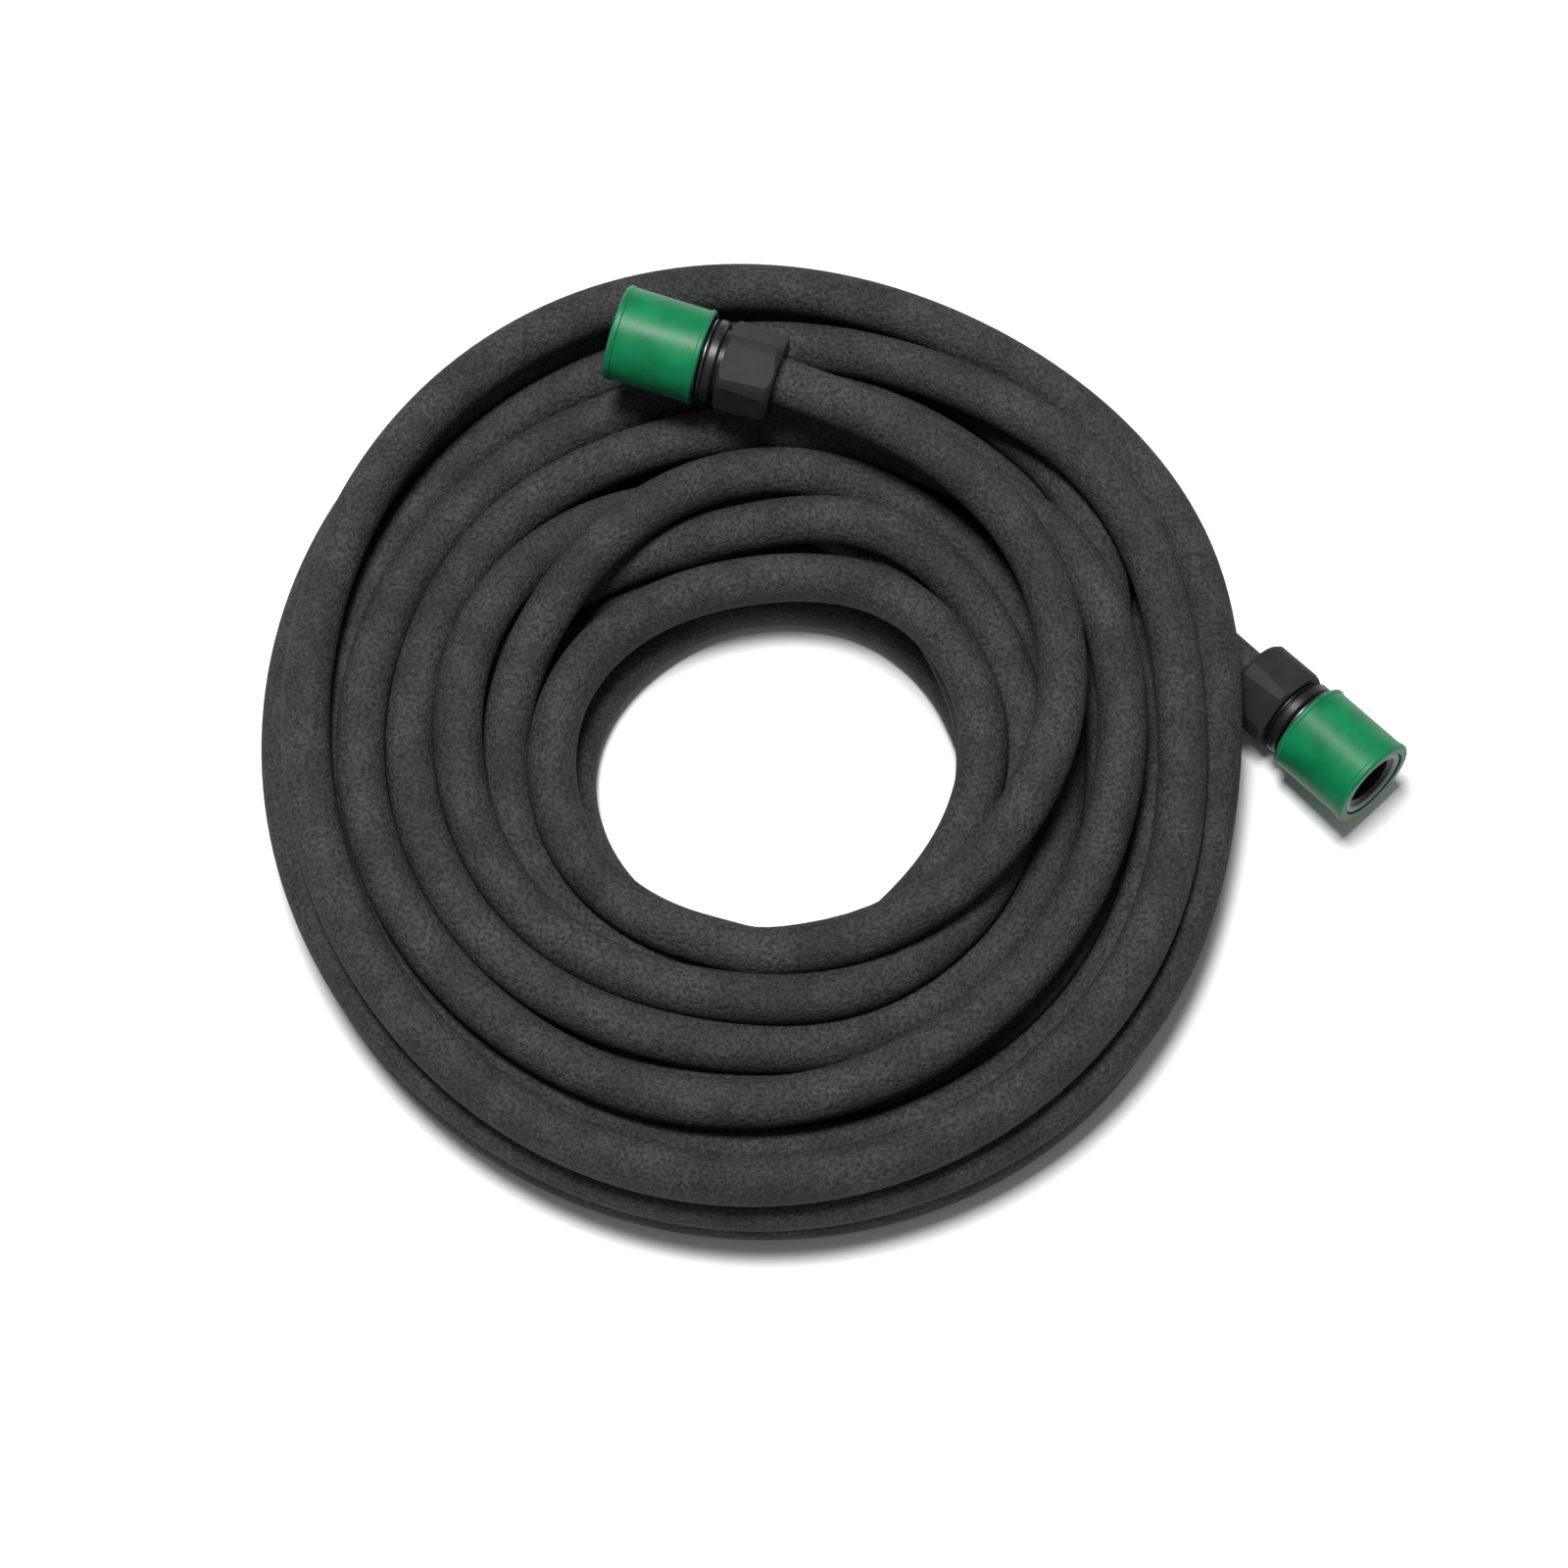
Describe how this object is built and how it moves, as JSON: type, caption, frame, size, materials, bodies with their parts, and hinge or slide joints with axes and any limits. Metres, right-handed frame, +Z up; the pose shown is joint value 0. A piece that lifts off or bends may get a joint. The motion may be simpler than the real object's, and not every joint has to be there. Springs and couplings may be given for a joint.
{
  "type": "soaker hose",
  "caption": "Porous rubber soaker hose wound in a loose flat coil, with a green-sleeved click connector at each end, one lying on the coil and one beside it.",
  "frame": {"origin": "on the floor under the middle of the whole object", "axes": "+Z up, the thickness of the coil; +X towards the connector that lies beside the coil"},
  "size_m": [0.3862, 0.334, 0.0797],
  "materials": {
    "porous_rubber": "matte, porous, faintly speckled",
    "green_plastic": "semi-gloss moulded",
    "black_plastic": "glossy moulded",
    "charcoal_plastic": "fine matte texture",
    "pale_plastic": "smooth moulded",
    "spring_steel": "drawn wire"
  },
  "bodies": {
    "root": {"hose_coil": "porous_rubber", "hose_lead_a": "porous_rubber", "connector_body_a": "black_plastic", "mouth_ring_a": "pale_plastic", "sleeve_spring_a": "spring_steel", "hose_lead_b": "porous_rubber", "connector_body_b": "black_plastic", "mouth_ring_b": "pale_plastic", "sleeve_spring_b": "spring_steel"},
    "sleeve_a": {"release_sleeve_a": "green_plastic"},
    "claw_a1": {"locking_claw_a1": "pale_plastic"},
    "claw_a2": {"locking_claw_a2": "pale_plastic"},
    "claw_a3": {"locking_claw_a3": "pale_plastic"},
    "collet_a": {"grip_collet_a": "black_plastic"},
    "nut_a": {"clamp_nut_a": "charcoal_plastic"},
    "sleeve_b": {"release_sleeve_b": "green_plastic"},
    "claw_b1": {"locking_claw_b1": "pale_plastic"},
    "claw_b2": {"locking_claw_b2": "pale_plastic"},
    "claw_b3": {"locking_claw_b3": "pale_plastic"},
    "collet_b": {"grip_collet_b": "black_plastic"},
    "nut_b": {"clamp_nut_b": "charcoal_plastic"}
  },
  "joints": [
    {"name": "sleeve_slide_a", "type": "slide", "parent": "root", "child": "sleeve_a", "axis": [0.9531, -0.3005, -0.0349], "range_m": [0, 0.0045], "stiffness_N_per_m": 600, "springref_m": -0.004, "deforming": ["sleeve_spring_a"]},
    {"name": "claw_lift_a1", "type": "slide", "parent": "root", "child": "claw_a1", "axis": [-0.3007, -0.9537, 0], "range_m": [0, 0.001]},
    {"name": "claw_lift_a2", "type": "slide", "parent": "root", "child": "claw_a2", "axis": [0.1792, 0.4678, 0.8655], "range_m": [0, 0.001]},
    {"name": "claw_lift_a3", "type": "slide", "parent": "root", "child": "claw_a3", "axis": [0.1215, 0.4859, -0.8655], "range_m": [0, 0.001]},
    {"name": "nut_travel_a", "type": "slide", "parent": "root", "child": "collet_a", "axis": [0.9531, -0.3005, -0.0349], "range_m": [0, 0.0045]},
    {"name": "nut_turn_a", "type": "hinge", "parent": "collet_a", "child": "nut_a", "pos_m": [-0.02745, 0.11727, 0.06152], "axis": [0.9531, -0.3005, -0.0349], "range_deg": [0, 540]},
    {"name": "sleeve_slide_b", "type": "slide", "parent": "root", "child": "sleeve_b", "axis": [-0.6723, 0.7235, -0.1564], "range_m": [0, 0.0045], "stiffness_N_per_m": 600, "springref_m": -0.004, "deforming": ["sleeve_spring_b"]},
    {"name": "claw_lift_b1", "type": "slide", "parent": "root", "child": "claw_b1", "axis": [0.7325, 0.6807, 0], "range_m": [0, 0.001]},
    {"name": "claw_lift_b2", "type": "slide", "parent": "root", "child": "claw_b2", "axis": [-0.4585, -0.2411, 0.8554], "range_m": [0, 0.001]},
    {"name": "claw_lift_b3", "type": "slide", "parent": "root", "child": "claw_b3", "axis": [-0.274, -0.4396, -0.8554], "range_m": [0, 0.001]},
    {"name": "nut_travel_b", "type": "slide", "parent": "root", "child": "collet_b", "axis": [-0.6723, 0.7235, -0.1564], "range_m": [0, 0.0045]},
    {"name": "nut_turn_b", "type": "hinge", "parent": "collet_b", "child": "nut_b", "pos_m": [0.14933, 0.01773, 0.01699], "axis": [-0.6723, 0.7235, -0.1564], "range_deg": [0, 540]}
  ],
  "couplings": [
    {"joint": "claw_lift_a1", "follows": "sleeve_slide_a", "ratio": 0.22222},
    {"joint": "claw_lift_a2", "follows": "sleeve_slide_a", "ratio": 0.22222},
    {"joint": "claw_lift_a3", "follows": "sleeve_slide_a", "ratio": 0.22222},
    {"joint": "nut_turn_a", "follows": "nut_travel_a", "rad_per_m": 2094.4},
    {"joint": "claw_lift_b1", "follows": "sleeve_slide_b", "ratio": 0.22222},
    {"joint": "claw_lift_b2", "follows": "sleeve_slide_b", "ratio": 0.22222},
    {"joint": "claw_lift_b3", "follows": "sleeve_slide_b", "ratio": 0.22222},
    {"joint": "nut_turn_b", "follows": "nut_travel_b", "rad_per_m": 2094.4}
  ]
}
